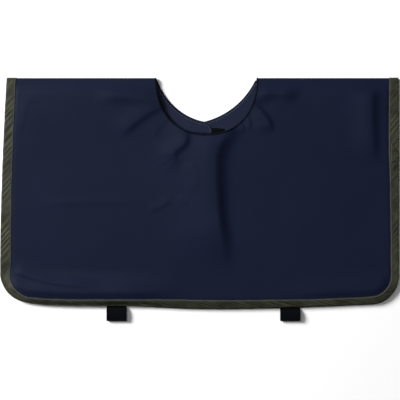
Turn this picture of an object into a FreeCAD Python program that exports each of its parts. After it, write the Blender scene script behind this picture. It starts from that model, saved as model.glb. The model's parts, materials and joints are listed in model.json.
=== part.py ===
import FreeCAD, Part
import math
import os

# Lead apron of the panoramic poncho kind, lying flat and folded in half at the shoulders.
# Millimetres. X runs across the shoulders, Y from hem to shoulders, Z up from the surface it lies on.
# The origin is under the middle of its outline, on that surface.
# The back half lies underneath with its outer cover down; the front half lies on top.

# Outline of the folded apron
HALF_LENGTH = 214.0          # from the middle to the shoulder fold, and to the ends of the hang loops
RIGHT_EDGE_X = 350.0
LEFT_EDGE_X = -350.0         # at the hem; the left side leans in towards the shoulder
LEFT_EDGE_MID_X = -347.5
LEFT_SHOULDER_X = -338.8
LEFT_CORNER_R = 50.0
RIGHT_CORNER_R = 44.0
HEM_LEFT_Y = -181.0          # hem where it meets the left corner
HEM_MID_LEFT = (-163.0, -186.0)
HEM_LOWEST = (0.0, -193.0)
HEM_MID_RIGHT = (177.0, -190.5)
HEM_RIGHT_Y = -185.0         # hem where it meets the right corner
FRONT_HEM_LIFT = 2.4         # the front hem stops this far above the back hem

# Neck opening
NECK_CENTRE_X = 12.4
NECK_HALF_WIDTH = 88.5
FRONT_NECK_DEPTH = 100.0
NECK_ROUNDNESS = 2.2         # exponent of the front neckline's curve; 2 is an ellipse
NECK_POINTS = 13
NAPE_X = 8.3                 # lowest point of the back neckline, where its two ends cross
BACK_NECK_DEPTH = 78.0
BACK_NECK_LEFT_MID = (-42.9, 52.8)    # x, and depth under the fold, halfway round each side
BACK_NECK_RIGHT_MID = (58.0, 52.0)
NAPE_SLIT_LENGTH = 160.0
NAPE_SLIT_WIDTH = 1.2

# Layers of each half, from its outer face inwards
COVER_T = 0.6
LEAD_VINYL_T = 0.9
LINING_T = 0.6
BINDING_T = 0.8
BINDING_WIDTH = 17.5
HALVES_GAP = 0.3             # between the front and back bindings
CORE_INSET = 19.0            # the lead vinyl stops short of the bound edge
CORE_NECK_INSET = 11.0
BAND_T = 0.5
FACING_WIDTH = 18.0
FACING_T = 0.5
THREAD_WIDTH = 0.8
THREAD_T = 0.3

# Hang loops of webbing, behind the hem
WEBBING_WIDTH = 35.0
WEBBING_T = 1.5
LOOP_EYE = 6.0               # height of the gap in the loop
LOOP_FLOOR = 0.3
LOOP_GAP = 0.5               # between the lowest part of the hem behind a loop and the loop's root
LOOP_TAPER = 7.5             # length over which the two runs of webbing open out
LOOP_X = {"left": -145.7, "right": 159.4}
LOOP_HEM_Y = {"left": -187.9, "right": -192.0}   # lowest part of the hem behind each loop
ANCHOR_T = 1.8
ANCHOR_DEPTH = 12.0

# Neck closure
TAB_ROOT_X = -11.7
TAB_T = 0.8
HOOK_T = 0.3
CLOSURE_GAP = 0.3
BAND_TUCK = 8.0              # the neckband runs this far under the front neckline
TAPE_LEFT_X = 10.0
TAPE_RIGHT_X = 46.0
TAPE_TOP_DEPTH = 88.0

LAMINATE_T = COVER_T + 2 * LEAD_VINYL_T + LINING_T
HALF_T = LAMINATE_T + 2 * BINDING_T
FOLD_Z = HALF_T + HALVES_GAP / 2
FOLD_Y = HALF_LENGTH - FOLD_Z
TALL = 60.0


def vector(x, y, z=0.0):
    return FreeCAD.Vector(x, y, z)


def through(points, start=None, end=None):
    """Smooth edge through points, with an optional direction at each end."""
    curve = Part.BSplineCurve()
    if start is None:
        curve.interpolate(points)
    else:
        curve.interpolate(Points=points, InitialTangent=start, FinalTangent=end)
    return curve.toShape()


def arc(start, middle, end):
    return Part.Arc(start, middle, end).toShape()


def line(start, end):
    return Part.LineSegment(start, end).toShape()


def slab(edges, bottom, top):
    """Flat solid between two heights whose outline is the chain of edges."""
    wire = Part.Wire(Part.__sortEdges__(edges))
    face = Part.Face(wire)
    face.translate(vector(0, 0, bottom))
    return face.extrude(vector(0, 0, top - bottom))


def block(x0, x1, y0, y1, z0, z1):
    return Part.makeBox(x1 - x0, y1 - y0, z1 - z0, vector(x0, y0, z0))


def panel(inset, hem_lift, top_y, bottom, top):
    """Whole half of the apron without its neck opening, shrunk by inset on its three sewn sides."""
    left = LEFT_EDGE_X + inset
    right = RIGHT_EDGE_X - inset
    lift = inset + hem_lift
    left_c = vector(LEFT_EDGE_X + LEFT_CORNER_R, HEM_LEFT_Y + LEFT_CORNER_R + hem_lift)
    right_c = vector(RIGHT_EDGE_X - RIGHT_CORNER_R, HEM_RIGHT_Y + RIGHT_CORNER_R + hem_lift)
    left_r = LEFT_CORNER_R - inset
    right_r = RIGHT_CORNER_R - inset
    diagonal = math.sqrt(0.5)
    shoulder_left = vector(LEFT_SHOULDER_X + inset, top_y)
    shoulder_right = vector(right, top_y)
    side_mid = vector(LEFT_EDGE_MID_X + inset, (top_y + left_c.y) / 2 - 10)
    side_low = vector(left, left_c.y)
    hem_left = vector(left_c.x, left_c.y - left_r)
    hem_right = vector(right_c.x, right_c.y - right_r)
    hem = [
        hem_left,
        vector(HEM_MID_LEFT[0], HEM_MID_LEFT[1] + lift),
        vector(HEM_LOWEST[0], HEM_LOWEST[1] + lift),
        vector(HEM_MID_RIGHT[0], HEM_MID_RIGHT[1] + lift),
        hem_right,
    ]
    edges = [
        line(shoulder_right, shoulder_left),
        through([shoulder_left, side_mid, side_low], vector(-0.02, -1), vector(0, -1)),
        arc(side_low, left_c + vector(-left_r * diagonal, -left_r * diagonal), hem_left),
        through(hem, vector(1, 0), vector(1, 0)),
        arc(hem_right, right_c + vector(right_r * diagonal, -right_r * diagonal), vector(right, right_c.y)),
        line(vector(right, right_c.y), shoulder_right),
    ]
    return slab(edges, bottom, top)


def front_neck(grow, bottom=-TALL, top=TALL):
    """Space inside the front neckline, grown outwards, up past the fold."""
    half = NECK_HALF_WIDTH + grow
    depth = FRONT_NECK_DEPTH + grow
    points = []
    for i in range(NECK_POINTS):
        angle = math.pi * i / (NECK_POINTS - 1)
        c = math.cos(angle)
        across = math.copysign(abs(c) ** (2 / NECK_ROUNDNESS), c)
        down = abs(math.sin(angle)) ** (2 / NECK_ROUNDNESS)
        points.append(vector(NECK_CENTRE_X - half * across, HALF_LENGTH - depth * down))
    left_top = vector(points[0].x, HALF_LENGTH + TALL)
    right_top = vector(points[-1].x, HALF_LENGTH + TALL)
    edges = [
        through(points, vector(0, -1), vector(0, 1)),
        line(points[-1], right_top),
        line(right_top, left_top),
        line(left_top, points[0]),
    ]
    return slab(edges, bottom, top)


def back_neck(grow, bottom=-TALL, top=TALL):
    """Space above the back neckline: two arcs that meet in a point at the nape."""
    left = vector(NECK_CENTRE_X - NECK_HALF_WIDTH - grow, HALF_LENGTH)
    right = vector(NECK_CENTRE_X + NECK_HALF_WIDTH + grow, HALF_LENGTH)
    nape = vector(NAPE_X, HALF_LENGTH - BACK_NECK_DEPTH - grow)
    slant = grow * math.sqrt(0.5)
    left_mid = vector(BACK_NECK_LEFT_MID[0] - slant, HALF_LENGTH - BACK_NECK_LEFT_MID[1] - slant)
    right_mid = vector(BACK_NECK_RIGHT_MID[0] + slant, HALF_LENGTH - BACK_NECK_RIGHT_MID[1] - slant)
    left_top = vector(left.x, HALF_LENGTH + TALL)
    right_top = vector(right.x, HALF_LENGTH + TALL)
    edges = [
        arc(left, left_mid, nape),
        arc(nape, right_mid, right),
        line(right, right_top),
        line(right_top, left_top),
        line(left_top, left),
    ]
    return slab(edges, bottom, top)


def nape_slit(grow):
    """Slit in the back half from the nape downwards."""
    half = NAPE_SLIT_WIDTH / 2 + grow
    nape_y = HALF_LENGTH - BACK_NECK_DEPTH
    return block(NAPE_X - half, NAPE_X + half, nape_y - NAPE_SLIT_LENGTH - grow, nape_y + 5, -TALL, TALL)


def layer(half, inset, neck_inset, depth, thickness):
    """One sheet of a half. depth is measured inwards from the laminate's outer face."""
    if half == "back":
        bottom = BINDING_T + depth
        body = panel(inset, 0, FOLD_Y, bottom, bottom + thickness)
        return body.cut(back_neck(neck_inset)).cut(nape_slit(neck_inset))
    top = 2 * FOLD_Z - BINDING_T - depth
    body = panel(inset, FRONT_HEM_LIFT, FOLD_Y - HALVES_GAP, top - thickness, top)
    return body.cut(front_neck(neck_inset))


def binding(half):
    """Bias tape folded round the sides and hem: two legs and the folded edge between them."""
    if half == "back":
        lift, top_y, low = 0.0, FOLD_Y, 0.0
    else:
        lift, top_y, low = FRONT_HEM_LIFT, FOLD_Y - HALVES_GAP, HALF_T + HALVES_GAP
    outside = panel(0, lift, top_y, low, low + HALF_T)
    inside = panel(BINDING_WIDTH, lift, top_y + 1, low - 1, low + HALF_T + 1)
    pocket = panel(BINDING_T, lift, top_y + 1, low + BINDING_T, low + HALF_T - BINDING_T)
    return outside.cut(inside).cut(pocket)


def edge_thread(half):
    """Row of stitching just inside the binding's sewn edge."""
    if half == "back":
        lift, top_y, low = 0.0, FOLD_Y, HALF_T - BINDING_T
    else:
        lift, top_y, low = FRONT_HEM_LIFT, FOLD_Y - HALVES_GAP, 2 * FOLD_Z - BINDING_T
    start = BINDING_WIDTH + 0.3
    row = panel(start, lift, top_y, low, low + THREAD_T)
    return row.cut(panel(start + THREAD_WIDTH, lift, top_y + 1, low - 1, low + THREAD_T + 1))


def half_tube(x0, x1, inner, outer):
    """Sheet bent over the shoulder fold, between two radii."""
    length = x1 - x0
    start = vector(x0, FOLD_Y, FOLD_Z)
    tube = Part.makeCylinder(outer, length, start, vector(1, 0, 0))
    if inner > 0:
        tube = tube.cut(Part.makeCylinder(inner, length, start, vector(1, 0, 0)))
    return tube.common(block(x0 - 1, x1 + 1, FOLD_Y, FOLD_Y + TALL, -TALL, TALL))


def shoulder_folds(side):
    """Cover, lead vinyl, lining and binding where they pass over one shoulder."""
    neck_left = NECK_CENTRE_X - NECK_HALF_WIDTH
    neck_right = NECK_CENTRE_X + NECK_HALF_WIDTH
    lining_in = HALVES_GAP / 2 + BINDING_T
    core_in = lining_in + LINING_T
    core_mid = core_in + LEAD_VINYL_T
    cover_in = core_mid + LEAD_VINYL_T
    cover_out = cover_in + COVER_T
    if side == "left":
        outer_x, inner_x, sign = LEFT_SHOULDER_X, neck_left, 1
    else:
        outer_x, inner_x, sign = RIGHT_EDGE_X, neck_right, -1
    cloth = sorted([outer_x + sign * BINDING_T, inner_x])
    core = sorted([outer_x + sign * CORE_INSET, inner_x - sign * CORE_NECK_INSET])
    tape = sorted([outer_x, outer_x + sign * BINDING_WIDTH])
    edge = sorted([outer_x, outer_x + sign * BINDING_T])
    outer_leg = half_tube(tape[0], tape[1], cover_out, FOLD_Z)
    inner_leg = half_tube(tape[0], tape[1], HALVES_GAP / 2, lining_in)
    end_wall = half_tube(edge[0], edge[1], HALVES_GAP / 2, FOLD_Z)
    return {
        side + "_shoulder_cover_fold": half_tube(cloth[0], cloth[1], cover_in, cover_out),
        side + "_shoulder_lead_vinyl_fold": Part.Compound([
            half_tube(core[0], core[1], core_in, core_mid),
            half_tube(core[0], core[1], core_mid, cover_in),
        ]),
        side + "_shoulder_lining_fold": half_tube(cloth[0], cloth[1], lining_in, core_in),
        side + "_shoulder_binding_fold": outer_leg.fuse(inner_leg).fuse(end_wall).removeSplitter(),
    }


def neck_bands():
    """Bands along the two sides of the back neckline, the loop tape between them and their stitching."""
    low = HALF_T - BINDING_T
    top = low + BAND_T
    crescent = front_neck(BAND_TUCK, low, top).cut(back_neck(0))
    crescent = crescent.common(block(-TALL * 3, TALL * 3, -TALL, FOLD_Y - 1, low, top))
    left = crescent.common(block(-TALL * 3, TAB_ROOT_X - 0.9, -TALL, HALF_LENGTH, low, top))
    right = crescent.common(block(NAPE_X + 0.7, TALL * 3, -TALL, HALF_LENGTH, low, top))
    window_top = HALF_LENGTH - TAPE_TOP_DEPTH
    window = block(0, TAPE_RIGHT_X, -TALL, window_top, low - 1, top + 1)
    right = right.cut(window)
    tape = crescent.common(block(TAPE_LEFT_X, TAPE_RIGHT_X - 0.3, -TALL, window_top - 0.3, low, top))
    row = back_neck(5 + THREAD_WIDTH, top, top + 0.2).cut(back_neck(5))
    row = row.cut(block(TAB_ROOT_X - 1, TAPE_RIGHT_X - 16, -TALL, HALF_LENGTH, low, top + 1))
    row = row.common(block(-TALL * 3, TALL * 3, -TALL, HALF_LENGTH - 24, top, top + 1))
    return {
        "neck_band_left": left,
        "neck_band_right": right,
        "neck_loop_tape": tape,
        "neck_band_stitching": row,
    }


def neck_closure():
    """Tab that crosses the nape from the left band, with hook tape under its end."""
    hook_low = HALF_T - BINDING_T + BAND_T + CLOSURE_GAP
    tab_low = hook_low + HOOK_T
    depth = {
        "root_top": 71.6,
        "round": 85.0,
        "end": 94.0,
        "low": 98.6,
        "root_low": 96.4,
    }
    y = {name: HALF_LENGTH - value for name, value in depth.items()}
    root_top = vector(TAB_ROOT_X, y["root_top"])
    nape = vector(NAPE_X, HALF_LENGTH - BACK_NECK_DEPTH)
    end = vector(22.5, y["end"])
    end_low = vector(19.5, y["low"])
    root_low = vector(TAB_ROOT_X, y["root_low"])
    edges = [
        line(root_low, root_top),
        line(root_top, nape),
        arc(nape, vector(18.0, y["round"]), end),
        line(end, end_low),
        line(end_low, root_low),
    ]
    tab = slab(edges, tab_low, tab_low + TAB_T)
    hook = block(9.5, 18.5, y["end"] - 1, y["round"] - 1, hook_low, tab_low)
    thread_top = tab_low + TAB_T
    thread = block(TAB_ROOT_X + 2, 16.0, y["end"] - 2, y["end"] - 2 + THREAD_WIDTH, thread_top, thread_top + 0.2)
    return {"neck_tab": tab, "neck_hook_tape": hook, "neck_tab_stitching": thread}


def hang_loop(side):
    """Webbing folded into a loop: two runs that leave the hem together and open round an eye."""
    x0 = LOOP_X[side] - WEBBING_WIDTH / 2
    root = LOOP_HEM_Y[side] - LOOP_GAP
    open_y = root - LOOP_TAPER
    outer_r = LOOP_EYE / 2 + WEBBING_T
    eye_z = LOOP_FLOOR + outer_r
    turn_y = -HALF_LENGTH + outer_r
    root_z = HALF_T / 2

    def profile(inward):
        half = max(WEBBING_T - inward, 0.25)
        radius = outer_r - inward
        start = root - inward * 1.4
        p = [
            vector(x0, start, root_z - half),
            vector(x0, open_y, eye_z - radius),
            vector(x0, turn_y, eye_z - radius),
            vector(x0, turn_y - radius, eye_z),
            vector(x0, turn_y, eye_z + radius),
            vector(x0, open_y, eye_z + radius),
            vector(x0, start, root_z + half),
        ]
        edges = [
            line(p[0], p[1]),
            line(p[1], p[2]),
            arc(p[2], p[3], p[4]),
            line(p[4], p[5]),
            line(p[5], p[6]),
            line(p[6], p[0]),
        ]
        face = Part.Face(Part.Wire(edges))
        return face.extrude(vector(WEBBING_WIDTH, 0, 0))

    return profile(0).cut(profile(WEBBING_T))


def loop_anchor(side):
    """Ends of the webbing where they are sewn into the hem between cover and lining."""
    half = WEBBING_WIDTH / 2
    low = (HALF_T - ANCHOR_T) / 2
    hem = LOOP_HEM_Y[side]
    return block(LOOP_X[side] - half, LOOP_X[side] + half, hem - 0.2, hem + ANCHOR_DEPTH, low, low + ANCHOR_T)


def loop_bartacks():
    """Two bars of dense stitching across each loop's sewn ends, sunk flush in the binding."""
    bars = []
    for side in LOOP_X:
        for rise in (5.0, 10.0):
            y0 = LOOP_HEM_Y[side] + rise
            bars.append(block(LOOP_X[side] - 15, LOOP_X[side] + 15, y0, y0 + 2, HALF_T - THREAD_T, HALF_T))
    return Part.Compound(bars)


def front_facing():
    """Strip on the inside of the front neckline, and the row of stitching that holds it."""
    top = HALF_T + HALVES_GAP + BINDING_T
    below_fold = block(-TALL * 3, TALL * 3, -TALL, FOLD_Y - 1, 0, TALL)
    strip = front_neck(FACING_WIDTH, top - FACING_T, top).cut(front_neck(0)).common(below_fold)
    low = top - FACING_T - 0.2
    row = front_neck(10 + THREAD_WIDTH, low, low + 0.2).cut(front_neck(10)).common(below_fold)
    return {"front_neck_facing": strip, "front_neck_stitching": row}


def main():
    nodes = {}
    for half in ("back", "front"):
        depth = 0.0
        for name, thickness, inset, neck_inset in (
            ("outer_cover", COVER_T, BINDING_T, 0.0),
            ("lead_vinyl_outer", LEAD_VINYL_T, CORE_INSET, CORE_NECK_INSET),
            ("lead_vinyl_inner", LEAD_VINYL_T, CORE_INSET, CORE_NECK_INSET),
            ("lining", LINING_T, BINDING_T, 0.0),
        ):
            nodes[half + "_" + name] = layer(half, inset, neck_inset, depth, thickness)
            depth += thickness
        nodes[half + "_edge_binding"] = binding(half)
        nodes[half + "_binding_stitching"] = edge_thread(half)
    for side in ("left", "right"):
        nodes.update(shoulder_folds(side))
        nodes[side + "_hang_loop"] = hang_loop(side)
        nodes[side + "_loop_anchor"] = loop_anchor(side)
    nodes["loop_bartacks"] = loop_bartacks()
    for name in ("left_loop_anchor", "right_loop_anchor", "loop_bartacks"):
        nodes["back_edge_binding"] = nodes["back_edge_binding"].cut(nodes[name])
    nodes.update(neck_bands())
    nodes.update(neck_closure())
    nodes.update(front_facing())

    os.makedirs("parts", exist_ok=True)
    for name, shape in nodes.items():
        shape.exportStep("parts/" + name + ".step")
        box = shape.BoundBox
        print(name, "valid" if shape.isValid() else "INVALID", len(shape.Solids), "solids",
              [round(v, 2) for v in (box.XMin, box.XMax, box.YMin, box.YMax, box.ZMin, box.ZMax)])


main()
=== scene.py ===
import json
import math
import bmesh
import bpy
import numpy as np
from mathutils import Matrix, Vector, noise
from mathutils.geometry import delaunay_2d_cdt
from mathutils.kdtree import KDTree


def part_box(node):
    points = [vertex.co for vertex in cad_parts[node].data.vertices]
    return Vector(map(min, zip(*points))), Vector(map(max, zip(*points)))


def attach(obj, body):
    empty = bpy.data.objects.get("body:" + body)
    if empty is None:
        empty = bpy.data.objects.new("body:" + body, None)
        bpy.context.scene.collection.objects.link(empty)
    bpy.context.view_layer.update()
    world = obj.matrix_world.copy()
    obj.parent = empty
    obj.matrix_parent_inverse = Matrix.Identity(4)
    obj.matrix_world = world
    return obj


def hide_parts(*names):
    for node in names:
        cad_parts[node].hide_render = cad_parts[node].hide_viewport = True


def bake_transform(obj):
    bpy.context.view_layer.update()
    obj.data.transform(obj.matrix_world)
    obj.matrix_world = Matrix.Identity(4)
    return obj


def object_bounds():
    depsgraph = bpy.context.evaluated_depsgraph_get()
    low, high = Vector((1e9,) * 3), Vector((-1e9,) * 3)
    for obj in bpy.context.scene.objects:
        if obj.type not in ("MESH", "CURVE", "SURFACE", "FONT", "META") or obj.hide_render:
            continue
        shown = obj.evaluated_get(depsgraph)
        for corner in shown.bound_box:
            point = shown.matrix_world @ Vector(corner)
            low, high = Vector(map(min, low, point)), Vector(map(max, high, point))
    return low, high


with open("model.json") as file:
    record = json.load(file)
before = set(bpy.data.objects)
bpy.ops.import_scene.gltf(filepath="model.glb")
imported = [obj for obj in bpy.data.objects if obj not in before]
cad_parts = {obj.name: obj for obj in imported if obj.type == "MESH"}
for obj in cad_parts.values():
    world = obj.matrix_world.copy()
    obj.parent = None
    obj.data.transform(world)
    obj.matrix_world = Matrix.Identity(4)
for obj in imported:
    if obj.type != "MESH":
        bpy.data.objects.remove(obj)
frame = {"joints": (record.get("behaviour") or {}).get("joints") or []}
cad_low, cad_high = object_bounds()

# Lead apron, folded at the shoulders and lying flat, front half on top. Metres, in the CAD's frame.
# Every sheet is drawn on the unfolded pattern: x across the shoulders, v from the front hem over the
# shoulder fold to the back hem, and h, its height over the middle surface between the two halves.
# place() folds that pattern onto the frame.
MM = 0.001
BACK, FRONT = "back_panel", "front_panel"
SIDES = ("left", "right")
UP = (0, 0, 1.0)

# ---- sizes read from the frame
fold_joint = next(j for j in frame["joints"] if j["name"] == "shoulder_fold")
FOLD_Y, FOLD_Z = fold_joint["pos_m"][1:]


def layer_heights(node):
    """The two faces of a front layer, as heights over the middle surface."""
    low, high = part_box(node)
    return low[2] - FOLD_Z, high[2] - FOLD_Z


COVER_H = layer_heights("front_outer_cover")
LINING_H = layer_heights("front_lining")
BINDING_H = layer_heights("front_edge_binding")
OUTER_VINYL_H = layer_heights("front_lead_vinyl_outer")
INNER_VINYL_H = layer_heights("front_lead_vinyl_inner")
binding_low, binding_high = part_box("front_edge_binding")
LEFT_X, RIGHT_X = binding_low[0], binding_high[0]
FRONT_HEM_LIFT = binding_low[1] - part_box("back_edge_binding")[0][1]
CORE_INSET = RIGHT_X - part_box("front_lead_vinyl_outer")[1][0]
NECK_LEFT_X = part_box("left_shoulder_cover_fold")[1][0]
NECK_RIGHT_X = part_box("right_shoulder_cover_fold")[0][0]
fold_low, fold_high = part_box("left_shoulder_binding_fold")
SHOULDER_LEFT_X, TOP_Y = fold_low[0], fold_high[1]
fold_low, fold_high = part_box("right_shoulder_binding_fold")
BINDING_WIDTH = fold_high[0] - fold_low[0]

# ---- the pattern's own sizes
FOLD_LENGTH = math.pi * 3.9 * MM          # pattern length taken up by the turn at the shoulder
BACK_V = FOLD_Y + FOLD_LENGTH             # where the back half starts on the pattern
# The lower corners: where each one's arc meets the hem, and its radius
LEFT_CORNER = (LEFT_X + 50 * MM, -181 * MM, 50 * MM)
RIGHT_CORNER = (RIGHT_X - 49 * MM, -185.3 * MM, 49 * MM)
HEM_BETWEEN = ((-163 * MM, -186 * MM), (0.0, -193 * MM), (177 * MM, -190.5 * MM))
LEFT_LEAN = 1.7              # power of the curve by which the left side leans in at the shoulder
HEM_DROP = 5.6 * MM          # the left of the front hem hangs this much below its CAD solid
FRONT_NECK_DEPTH = 100 * MM
NECK_ROUNDNESS = 2.2         # 2 would be an ellipse
NAPE = (8.3 * MM, TOP_Y - 78 * MM)
BACK_NECK_LEFT_MID = (-42.9 * MM, TOP_Y - 52.8 * MM)
BACK_NECK_RIGHT_MID = (59.2 * MM, TOP_Y - 53.6 * MM)
NAPE_SLIT = (160 * MM, 1.2 * MM)          # its length and width


# ---- curves
def smoothstep(low, high, value):
    t = np.clip((value - low) / (high - low), 0, 1)
    return t * t * (3 - 2 * t)


def ramp_mm(value, low, high):
    """Smooth rise from 0 to 1 as a length goes from low to high, both given in mm."""
    return smoothstep(low * MM, high * MM, value)


def lengths(points):
    """How far along a line of points each of them is."""
    return np.r_[0, np.cumsum(np.linalg.norm(np.diff(points, axis=0), axis=1))]


def points_at(distances, along, points):
    """Places at some distances along a line of points."""
    return np.stack([np.interp(distances, along, column) for column in points.T], axis=1)


def closed_up(loop):
    return np.vstack([loop, loop[:1]])


def rightward(line):
    """Unit vectors square to a line on its right."""
    way = np.gradient(line, axis=0)
    way /= np.linalg.norm(way, axis=1)[:, None]
    return np.stack([way[:, 1], -way[:, 0]], axis=1)


def hermite(points, count):
    """Smooth curve through points, as count samples; its two ends follow their neighbours."""
    p = np.array(points, float)
    chord = lengths(p)
    slope = np.gradient(p, chord, axis=0)
    t = np.linspace(0, chord[-1], count)
    k = np.clip(np.searchsorted(chord, t, side="right") - 1, 0, len(p) - 2)
    gap = (chord[k + 1] - chord[k])[:, None]
    u = ((t - chord[k])[:, None]) / gap
    return (
        p[k] * (1 + 2 * u) * (1 - u) ** 2
        + slope[k] * gap * u * (1 - u) ** 2
        + p[k + 1] * u * u * (3 - 2 * u)
        + slope[k + 1] * gap * u * u * (u - 1)
    )


def resample(points, spacing):
    """The same line with its points evenly spaced."""
    p = np.array(points, float)
    along = lengths(p)
    count = max(2, int(round(along[-1] / spacing)) + 1)
    return points_at(np.linspace(0, along[-1], count), along, p)


def three_point_arc(a, b, c, count=40):
    a, b, c = (np.array(p, float) for p in (a, b, c))
    m = 2 * np.array([b - a, c - b])
    centre = np.linalg.solve(m, np.array([b @ b - a @ a, c @ c - b @ b]))
    angles = np.unwrap([math.atan2(*(p - centre)[::-1]) for p in (a, b, c)])
    t = np.linspace(angles[0], angles[2], count)
    return centre + np.linalg.norm(a - centre) * np.stack([np.cos(t), np.sin(t)], axis=1)


def corner_arc(corner, start, end, lift):
    x, y, r = corner
    t = np.radians(np.linspace(start, end, 30))
    return np.stack([x + r * np.cos(t), y + r + lift + r * np.sin(t)], axis=1)


def half_edge(lift):
    """One half's sewn edge on the frame: down the left side, along the hem and up the right side."""
    low_y = LEFT_CORNER[1] + LEFT_CORNER[2] + lift
    y = np.linspace(FOLD_Y, low_y, 40)
    lean = ((y - low_y) / (FOLD_Y - low_y)) ** LEFT_LEAN
    left = np.stack([LEFT_X + (SHOULDER_LEFT_X - LEFT_X) * lean, y], axis=1)
    left_corner = corner_arc(LEFT_CORNER, 180, 270, lift)
    right_corner = corner_arc(RIGHT_CORNER, 270, 360, lift)
    between = [(x, y + lift) for x, y in HEM_BETWEEN]
    hem = hermite([left_corner[-1], *between, right_corner[0]], 120)
    right = np.array([right_corner[-1], [RIGHT_X, FOLD_Y]])
    return np.vstack([left[:-1], left_corner[:-1], hem[:-1], right_corner[:-1], right])


def flipped(points):
    """Places on the back half, as places on the pattern."""
    return np.stack([points[:, 0], BACK_V + FOLD_Y - points[:, 1]], axis=1)


def hem_drop(x, y):
    return HEM_DROP * ramp_mm(x, -350, -262) * ramp_mm(x, -60, -235) * ramp_mm(y, -60, -140)


def pattern_edge(front_spacing, back_spacing):
    """The whole apron's sewn edge on the pattern, anticlockwise from the front's left shoulder."""
    front = resample(half_edge(FRONT_HEM_LIFT), front_spacing)
    front[:, 1] -= hem_drop(*front.T)
    back = resample(flipped(half_edge(0.0))[::-1], back_spacing)
    right_fold = resample([front[-1], back[0]], 1 * MM)
    left_fold = resample([back[-1], front[0]], 1 * MM)
    return np.vstack([front[:-1], right_fold[:-1], back[:-1], left_fold[:-1]])


def front_neck_curve():
    centre = (NECK_LEFT_X + NECK_RIGHT_X) / 2
    half = (NECK_RIGHT_X - NECK_LEFT_X) / 2
    t = np.linspace(math.pi, 0, 90)
    across = np.sign(np.cos(t)) * np.abs(np.cos(t)) ** (2 / NECK_ROUNDNESS)
    down = np.abs(np.sin(t)) ** (2 / NECK_ROUNDNESS)
    curve = np.stack([centre + half * across, TOP_Y - FRONT_NECK_DEPTH * down], axis=1)
    return curve[curve[:, 1] <= FOLD_Y + 1e-9]


def back_neck_curves():
    left = three_point_arc((NECK_LEFT_X, TOP_Y), BACK_NECK_LEFT_MID, NAPE)
    right = three_point_arc(NAPE, BACK_NECK_RIGHT_MID, (NECK_RIGHT_X, TOP_Y))
    return left[left[:, 1] <= FOLD_Y], right[right[:, 1] <= FOLD_Y]


def pattern_neck(spacing, slit):
    """The neck hole on the pattern, anticlockwise from the front's left neck corner."""
    front = front_neck_curve()
    left, right = back_neck_curves()
    ends = np.array([[NECK_LEFT_X, FOLD_Y], [NECK_RIGHT_X, FOLD_Y]])
    front = resample(np.vstack([ends[:1], front, ends[1:]]), spacing)
    right = flipped(np.vstack([right, ends[1:]]))[::-1]
    left = flipped(np.vstack([ends[:1], left]))[::-1]
    fold_right = resample([front[-1], right[0]], 1 * MM)
    fold_left = resample([left[-1], front[0]], 1 * MM)
    parts = [front[:-1], fold_right[:-1], resample(right, spacing)]
    if slit:
        x, y = NAPE
        length, width = NAPE_SLIT
        top, end = BACK_V + FOLD_Y - y, BACK_V + FOLD_Y - y + length
        parts[-1] = parts[-1][:-1]
        parts.append(resample([(x + width / 2, top), (x + width / 2, end)], spacing))
        parts.append(resample([(x - width / 2, end), (x - width / 2, top)], spacing))
        left = left[1:]
    parts.append(resample(left, spacing)[:-1] if slit else resample(left, spacing)[1:-1])
    parts.append(fold_left[:-1])
    return np.vstack(parts)


def turned(loop, side):
    """Unit vectors square to a closed loop: side 1 is to its left, -1 to its right."""
    t = np.roll(loop, -1, axis=0) - np.roll(loop, 1, axis=0)
    t /= np.linalg.norm(t, axis=1)[:, None]
    return side * np.stack([-t[:, 1], t[:, 0]], axis=1)


# ---- folding the pattern onto the frame
def place(x, v, h):
    angle = np.clip((v - FOLD_Y) / FOLD_LENGTH, 0, 1) * math.pi
    y = np.where(v <= FOLD_Y, v, np.where(v >= BACK_V, FOLD_Y + BACK_V - v, FOLD_Y))
    return np.stack([x + 0 * h, y + h * np.sin(angle), FOLD_Z + h * np.cos(angle)], axis=-1)


# ---- folds and wrinkles of the front half
# Each is a crest: its route on the frame in mm, how far it spreads to the left and to the right of the
# route in mm (one number, or a few spaced evenly along it), its height in mm, and whether it starts at
# full height, as one does at the neck.
CRESTS = (
    # the long soft fold under the closure, which falls away steeply to the right
    (((46, 122), (35, 104), (27, 80), (26, 50), (28, 10), (30, -20), (33, -44), (37, -68), (40, -100),
      (42, -135)), (17, 15, 13, 16), 60, 8.1, True),
    (((24, 122), (17, 96), (15, 60), (17, 10), (20, -30)), 12, 15, 0.7, True),
    # hooked crease left of it
    (((-29, 124), (-24.5, 110), (-28, 98), (-37, 90), (-46, 80), (-42, 71), (-28, 64)), 7, 22, 3.6, True),
    (((-16, 68), (-6, 46), (-6, 26), (-14, 6)), 5, 18, 0.6, False),
    # gathers that fan out from the left of the neck
    (((-70, 177), (-104, 179), (-150, 181), (-188, 177)), 12, 22, 3.0, True),
    (((-70, 164), (-102, 145), (-128, 124), (-148, 108)), 8, 20, 2.6, True),
    (((-58, 144), (-74, 126), (-86, 108)), 7, 16, 0.8, True),
    # and from its right
    (((96, 178), (112, 186), (130, 192), (152, 187), (174, 174)), 26, 13, 4.6, True),
    (((93, 167), (108, 153), (121, 134), (126, 112)), 5, 24, 3.0, True),
    (((82, 150), (86, 136), (88, 118)), 4, 10, 1.4, True),
    (((70, 142), (74, 128), (76, 114)), 4, 10, 1.3, True),
    # creases near the sides
    (((301, 204), (300, 142), (305, 56)), 10, 26, 3.9, False),
    (((-296, 186), (-309, 146), (-320, 108)), 6, 16, 0.5, False),
    # puckers left of the middle
    (((-90, -20), (-66, -10), (-46, 2)), 9, 5, 0.8, False),
    (((-36, 6), (-28, -5), (-18, 3)), 6, 6, 0.5, False),
    (((-290, -7), (-165, -4), (-76, -4)), 9, 6, 0.5, False),
    # creases pulled out of the lower left corner
    (((-340, -116), (-300, -134), (-264, -143), (-215, -149), (-165, -151)), 16, 5, 2.5, False),
)
CREST_START, CREST_END = 0.2, 0.36        # shares of a crest over which it rises and dies out


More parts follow.
